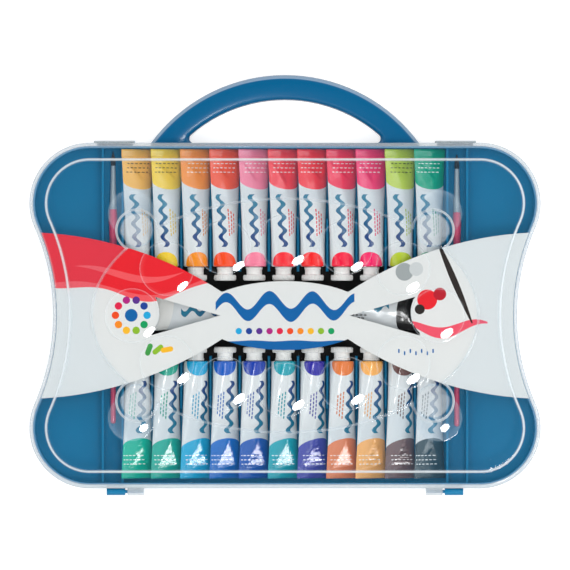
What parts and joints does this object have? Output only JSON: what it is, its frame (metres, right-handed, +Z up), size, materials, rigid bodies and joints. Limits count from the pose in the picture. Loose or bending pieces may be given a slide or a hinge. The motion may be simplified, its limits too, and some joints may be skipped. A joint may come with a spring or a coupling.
{
  "type": "paint set box",
  "caption": "Waisted carrying case with a hinged clear lid that serves as a mixing palette, holding gouache tubes with screw caps, brushes and mixing dishes.",
  "frame": {"origin": "on the resting face, under the middle of the whole box, handle and hinges included", "axes": "+X along the case, with the white large tube on the -X side; +Y from the hinges to the handle; +Z up, out of the lid"},
  "size_m": [0.368, 0.3034, 0.0365],
  "materials": {
    "case_blue": "satin",
    "lid_clear": "gloss",
    "liner_black": "matte",
    "printed_card": "satin",
    "cap_white": "satin",
    "dish_grey": "gloss",
    "brush_lacquer": "gloss",
    "ferrule_metal": "polished",
    "bristle_dark": "matte",
    "paint_white": "satin",
    "paint_black": "satin",
    "paint_back_01": "satin",
    "paint_back_02": "satin",
    "paint_back_03": "satin",
    "paint_back_04": "satin",
    "paint_back_05": "satin",
    "paint_back_06": "satin",
    "paint_back_07": "satin",
    "paint_back_08": "satin",
    "paint_back_09": "satin",
    "paint_back_10": "satin",
    "paint_back_11": "satin",
    "paint_front_01": "satin",
    "paint_front_02": "satin",
    "paint_front_03": "satin",
    "paint_front_04": "satin",
    "paint_front_05": "satin",
    "paint_front_06": "satin",
    "paint_front_07": "satin",
    "paint_front_08": "satin",
    "paint_front_09": "satin",
    "paint_front_10": "satin",
    "paint_front_11": "satin"
  },
  "bodies": {
    "case": {"base_tray": "case_blue", "centre_tray": "liner_black", "palette_left": "dish_grey", "palette_right": "dish_grey", "brush_handle_left": "brush_lacquer", "brush_handle_right": "brush_lacquer", "brush_ferrules": "ferrule_metal", "brush_bristles": "bristle_dark", "tube_large_white": "paint_white", "tube_large_black": "paint_black", "tube_back_01": "paint_back_01", "tube_back_02": "paint_back_02", "tube_back_03": "paint_back_03", "tube_back_04": "paint_back_04", "tube_back_05": "paint_back_05", "tube_back_06": "paint_back_06", "tube_back_07": "paint_back_07", "tube_back_08": "paint_back_08", "tube_back_09": "paint_back_09", "tube_back_10": "paint_back_10", "tube_back_11": "paint_back_11", "tube_front_01": "paint_front_01", "tube_front_02": "paint_front_02", "tube_front_03": "paint_front_03", "tube_front_04": "paint_front_04", "tube_front_05": "paint_front_05", "tube_front_06": "paint_front_06", "tube_front_07": "paint_front_07", "tube_front_08": "paint_front_08", "tube_front_09": "paint_front_09", "tube_front_10": "paint_front_10", "tube_front_11": "paint_front_11"},
    "lid": {"lid": "lid_clear", "printed_sheet": "printed_card"},
    "latch_left": {"latch_left": "lid_clear"},
    "latch_right": {"latch_right": "lid_clear"},
    "cap_back_01": {"cap_back_01": "cap_white"},
    "cap_back_02": {"cap_back_02": "cap_white"},
    "cap_back_03": {"cap_back_03": "cap_white"},
    "cap_back_04": {"cap_back_04": "cap_white"},
    "cap_back_05": {"cap_back_05": "cap_white"},
    "cap_back_06": {"cap_back_06": "cap_white"},
    "cap_back_07": {"cap_back_07": "cap_white"},
    "cap_back_08": {"cap_back_08": "cap_white"},
    "cap_back_09": {"cap_back_09": "cap_white"},
    "cap_back_10": {"cap_back_10": "cap_white"},
    "cap_back_11": {"cap_back_11": "cap_white"},
    "cap_front_01": {"cap_front_01": "cap_white"},
    "cap_front_02": {"cap_front_02": "cap_white"},
    "cap_front_03": {"cap_front_03": "cap_white"},
    "cap_front_04": {"cap_front_04": "cap_white"},
    "cap_front_05": {"cap_front_05": "cap_white"},
    "cap_front_06": {"cap_front_06": "cap_white"},
    "cap_front_07": {"cap_front_07": "cap_white"},
    "cap_front_08": {"cap_front_08": "cap_white"},
    "cap_front_09": {"cap_front_09": "cap_white"},
    "cap_front_10": {"cap_front_10": "cap_white"},
    "cap_front_11": {"cap_front_11": "cap_white"},
    "cap_large_white": {"cap_large_white": "cap_white"},
    "cap_large_black": {"cap_large_black": "cap_white"}
  },
  "joints": [
    {"name": "lid_hinge", "type": "hinge", "parent": "case", "child": "lid", "pos_m": [0, -0.14905, 0.0185], "axis": [1, 0, 0], "range_deg": [0, 180]},
    {"name": "latch_left_flap", "type": "hinge", "parent": "lid", "child": "latch_left", "pos_m": [-0.1229, 0.1033, 0.028], "axis": [1, 0, 0], "range_deg": [0, 100]},
    {"name": "latch_right_flap", "type": "hinge", "parent": "lid", "child": "latch_right", "pos_m": [0.1229, 0.1033, 0.028], "axis": [1, 0, 0], "range_deg": [0, 100]},
    {"name": "twist_cap_back_01", "type": "hinge", "parent": "case", "child": "cap_back_01", "pos_m": [-0.1066, 0.0091, 0.0125], "axis": [0, -1, 0], "range_deg": [0, 720]},
    {"name": "twist_cap_back_02", "type": "hinge", "parent": "case", "child": "cap_back_02", "pos_m": [-0.0855, 0.0091, 0.0125], "axis": [0, -1, 0], "range_deg": [0, 720]},
    {"name": "twist_cap_back_03", "type": "hinge", "parent": "case", "child": "cap_back_03", "pos_m": [-0.0644, 0.0091, 0.0125], "axis": [0, -1, 0], "range_deg": [0, 720]},
    {"name": "twist_cap_back_04", "type": "hinge", "parent": "case", "child": "cap_back_04", "pos_m": [-0.0433, 0.0091, 0.0125], "axis": [0, -1, 0], "range_deg": [0, 720]},
    {"name": "twist_cap_back_05", "type": "hinge", "parent": "case", "child": "cap_back_05", "pos_m": [-0.0222, 0.0091, 0.0125], "axis": [0, -1, 0], "range_deg": [0, 720]},
    {"name": "twist_cap_back_06", "type": "hinge", "parent": "case", "child": "cap_back_06", "pos_m": [-0.0011, 0.0091, 0.0125], "axis": [0, -1, 0], "range_deg": [0, 720]},
    {"name": "twist_cap_back_07", "type": "hinge", "parent": "case", "child": "cap_back_07", "pos_m": [0.02, 0.0091, 0.0125], "axis": [0, -1, 0], "range_deg": [0, 720]},
    {"name": "twist_cap_back_08", "type": "hinge", "parent": "case", "child": "cap_back_08", "pos_m": [0.0411, 0.0091, 0.0125], "axis": [0, -1, 0], "range_deg": [0, 720]},
    {"name": "twist_cap_back_09", "type": "hinge", "parent": "case", "child": "cap_back_09", "pos_m": [0.0622, 0.0091, 0.0125], "axis": [0, -1, 0], "range_deg": [0, 720]},
    {"name": "twist_cap_back_10", "type": "hinge", "parent": "case", "child": "cap_back_10", "pos_m": [0.0833, 0.0091, 0.0125], "axis": [0, -1, 0], "range_deg": [0, 720]},
    {"name": "twist_cap_back_11", "type": "hinge", "parent": "case", "child": "cap_back_11", "pos_m": [0.1044, 0.0091, 0.0125], "axis": [0, -1, 0], "range_deg": [0, 720]},
    {"name": "twist_cap_front_01", "type": "hinge", "parent": "case", "child": "cap_front_01", "pos_m": [-0.1066, -0.0507, 0.0125], "axis": [0, 1, 0], "range_deg": [0, 720]},
    {"name": "twist_cap_front_02", "type": "hinge", "parent": "case", "child": "cap_front_02", "pos_m": [-0.0855, -0.0507, 0.0125], "axis": [0, 1, 0], "range_deg": [0, 720]},
    {"name": "twist_cap_front_03", "type": "hinge", "parent": "case", "child": "cap_front_03", "pos_m": [-0.0644, -0.0507, 0.0125], "axis": [0, 1, 0], "range_deg": [0, 720]},
    {"name": "twist_cap_front_04", "type": "hinge", "parent": "case", "child": "cap_front_04", "pos_m": [-0.0433, -0.0507, 0.0125], "axis": [0, 1, 0], "range_deg": [0, 720]},
    {"name": "twist_cap_front_05", "type": "hinge", "parent": "case", "child": "cap_front_05", "pos_m": [-0.0222, -0.0507, 0.0125], "axis": [0, 1, 0], "range_deg": [0, 720]},
    {"name": "twist_cap_front_06", "type": "hinge", "parent": "case", "child": "cap_front_06", "pos_m": [-0.0011, -0.0507, 0.0125], "axis": [0, 1, 0], "range_deg": [0, 720]},
    {"name": "twist_cap_front_07", "type": "hinge", "parent": "case", "child": "cap_front_07", "pos_m": [0.02, -0.0507, 0.0125], "axis": [0, 1, 0], "range_deg": [0, 720]},
    {"name": "twist_cap_front_08", "type": "hinge", "parent": "case", "child": "cap_front_08", "pos_m": [0.0411, -0.0507, 0.0125], "axis": [0, 1, 0], "range_deg": [0, 720]},
    {"name": "twist_cap_front_09", "type": "hinge", "parent": "case", "child": "cap_front_09", "pos_m": [0.0622, -0.0507, 0.0125], "axis": [0, 1, 0], "range_deg": [0, 720]},
    {"name": "twist_cap_front_10", "type": "hinge", "parent": "case", "child": "cap_front_10", "pos_m": [0.0833, -0.0507, 0.0125], "axis": [0, 1, 0], "range_deg": [0, 720]},
    {"name": "twist_cap_front_11", "type": "hinge", "parent": "case", "child": "cap_front_11", "pos_m": [0.1044, -0.0507, 0.0125], "axis": [0, 1, 0], "range_deg": [0, 720]},
    {"name": "twist_cap_large_white", "type": "hinge", "parent": "case", "child": "cap_large_white", "pos_m": [-0.0073, -0.0172, 0.0145], "axis": [1, 0, 0], "range_deg": [0, 720]},
    {"name": "twist_cap_large_black", "type": "hinge", "parent": "case", "child": "cap_large_black", "pos_m": [0.0073, -0.0172, 0.0145], "axis": [-1, 0, 0], "range_deg": [0, 720]}
  ]
}
